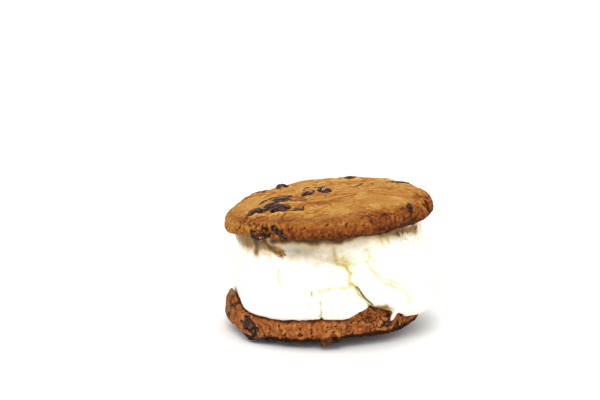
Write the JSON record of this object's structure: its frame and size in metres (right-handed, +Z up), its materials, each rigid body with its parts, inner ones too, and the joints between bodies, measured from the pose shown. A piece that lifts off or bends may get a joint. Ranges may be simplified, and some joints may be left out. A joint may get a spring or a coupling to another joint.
{
  "type": "ice cream sandwich",
  "caption": "Round sandwich of scooped vanilla ice cream between thick chocolate chunk cookies, leaning a little to one side.",
  "frame": {"origin": "on the table, under the middle of the whole sandwich's box", "axes": "+Z up, through both cookies; +X to the shown side's right, along the widest line; +Y to the back"},
  "size_m": [0.1008, 0.0972, 0.0654],
  "materials": {
    "baked_top": "dry golden brown crumb, darker and porous at the edge",
    "baked_base": "dry toasted brown crumb",
    "vanilla_ice_cream": "soft satin white, creamy in the cracks",
    "dark_chocolate": "satin dark chocolate with dull bloom"
  },
  "bodies": {
    "root": {"top_cookie": "baked_top", "bottom_cookie": "baked_base", "ice_cream": "vanilla_ice_cream", "chunk_long": "dark_chocolate", "chunk_broad": "dark_chocolate", "chunk_flat": "dark_chocolate", "chunk_small": "dark_chocolate", "chunk_left_ring": "dark_chocolate", "chunk_right_ring": "dark_chocolate", "chunk_edge_left": "dark_chocolate", "chunk_edge_flake": "dark_chocolate", "chunk_crest": "dark_chocolate", "chunk_back": "dark_chocolate", "chunk_edge_back": "dark_chocolate", "chunk_base_left": "dark_chocolate", "chunk_base_right": "dark_chocolate", "chunk_base_back": "dark_chocolate", "chunk_base_side": "dark_chocolate"}
  },
  "joints": []
}
